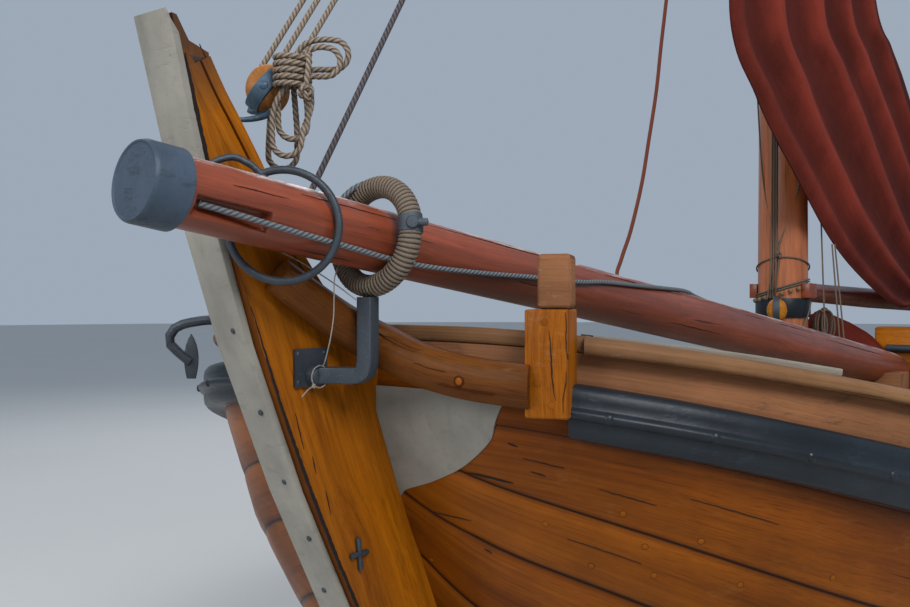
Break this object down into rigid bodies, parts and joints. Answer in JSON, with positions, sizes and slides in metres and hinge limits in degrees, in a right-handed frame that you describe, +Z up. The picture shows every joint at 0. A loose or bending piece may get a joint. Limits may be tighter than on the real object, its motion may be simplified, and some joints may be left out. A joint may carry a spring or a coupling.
{
  "type": "sailboat",
  "caption": "Flat-bottomed wooden fishing sailboat with a bluff bow, running bowsprit, leeboards, tanned gaff mainsail hanging in folds and a stern-hung rudder.",
  "frame": {"origin": "centre of the boat's box in length and breadth, on the underside of the flat bottom", "axes": "+X to the bow, +Y to port, +Z up; the waterline is at z = 0.75 m"},
  "size_m": [13.6396, 4.39, 10.6],
  "materials": {
    "oiled_oak": "oiled and varnished oak, golden brown, with knots, checks and worn edges",
    "weathered_oak": "brown oak, weathered",
    "grey_deck_wood": "bare deck planks gone grey-white",
    "varnished_spar": "red-brown varnished pine, chafed on top",
    "black_paint": "oak painted with black tar, semi-gloss",
    "white_paint": "grey-white paint on wood, weathered",
    "black_iron": "forged iron, painted black, worn",
    "tarred_rope": "laid rope, grey-brown",
    "tanned_canvas": "red-brown tanned sailcloth"
  },
  "bodies": {
    "hull": {"flat_bottom": "black_paint", "stem": "oiled_oak", "stem_facing": "white_paint", "sternpost": "oiled_oak", "port_planking": "oiled_oak", "starboard_planking": "oiled_oak", "port_wale": "black_paint", "starboard_wale": "black_paint", "port_bow_strake": "oiled_oak", "port_bulwark": "weathered_oak", "starboard_bulwark": "weathered_oak", "port_cap_rail": "weathered_oak", "starboard_cap_rail": "weathered_oak", "bow_chock_timber": "oiled_oak", "bow_post_lower": "oiled_oak", "bow_post_upper": "oiled_oak", "foredeck": "grey_deck_wood", "hatch_coaming": "weathered_oak", "bulkhead": "weathered_oak", "main_beam": "weathered_oak", "well_floor": "grey_deck_wood", "fish_trunk": "weathered_oak", "after_deck": "grey_deck_wood", "mast_step": "weathered_oak", "mast": "varnished_spar", "mast_band": "black_iron", "forestay": "black_iron", "served_ring": "tarred_rope", "bowsprit_bracket": "black_iron", "heel_chock": "weathered_oak", "heel_bitt": "oiled_oak", "bitt_pin": "black_iron", "stem_eye": "black_iron", "tackle_block": "oiled_oak", "rope_hank": "tarred_rope", "anchor": "black_iron", "sail_bundle": "tanned_canvas", "port_leeboard_pin": "black_iron", "starboard_leeboard_pin": "black_iron", "rudder_rod": "black_iron", "gudgeon_low": "black_iron", "gudgeon_top": "black_iron", "mainsheet_horse": "black_iron"},
    "bowsprit": {"bowsprit": "varnished_spar", "bowsprit_cap": "black_paint", "traveller": "black_iron"},
    "hatch_lid": {"hatch_lid": "grey_deck_wood"},
    "bulkhead_door": {"bulkhead_door": "weathered_oak"},
    "main_rig": {"boom": "varnished_spar", "gaff": "varnished_spar", "mainsail": "tanned_canvas"},
    "port_leeboard": {"port_leeboard": "oiled_oak"},
    "starboard_leeboard": {"starboard_leeboard": "oiled_oak"},
    "rudder": {"rudder_blade": "oiled_oak", "rudder_strap_low": "black_iron", "rudder_strap_top": "black_iron", "tiller": "oiled_oak"}
  },
  "joints": [
    {"name": "rudder_turn", "type": "hinge", "parent": "hull", "child": "rudder", "pos_m": [-6.0065, 0, 0.06], "axis": [-0.142, 0, 0.9899], "range_deg": [-35, 35]},
    {"name": "rig_swing", "type": "hinge", "parent": "hull", "child": "main_rig", "pos_m": [2.475, 0, 2.66], "axis": [0, 0, 1], "range_deg": [-50, 50]},
    {"name": "bowsprit_run", "type": "slide", "parent": "hull", "child": "bowsprit", "axis": [0.987, -0.0789, 0.1402], "range_m": [0, 1.5]},
    {"name": "port_leeboard_drop", "type": "hinge", "parent": "hull", "child": "port_leeboard", "pos_m": [1.355, 2.14, 1.56], "axis": [0, 1, 0], "range_deg": [-65, 0]},
    {"name": "starboard_leeboard_drop", "type": "hinge", "parent": "hull", "child": "starboard_leeboard", "pos_m": [1.355, -2.14, 1.56], "axis": [0, 1, 0], "range_deg": [-65, 0]},
    {"name": "hatch_lid_lift", "type": "hinge", "parent": "hull", "child": "hatch_lid", "pos_m": [3.535, -0.35, 2.31], "axis": [0, -1, 0], "range_deg": [0, 100]},
    {"name": "bulkhead_door_swing", "type": "hinge", "parent": "hull", "child": "bulkhead_door", "pos_m": [1.239, 0.29, 1.06], "axis": [0, 0, -1], "range_deg": [0, 110]}
  ]
}
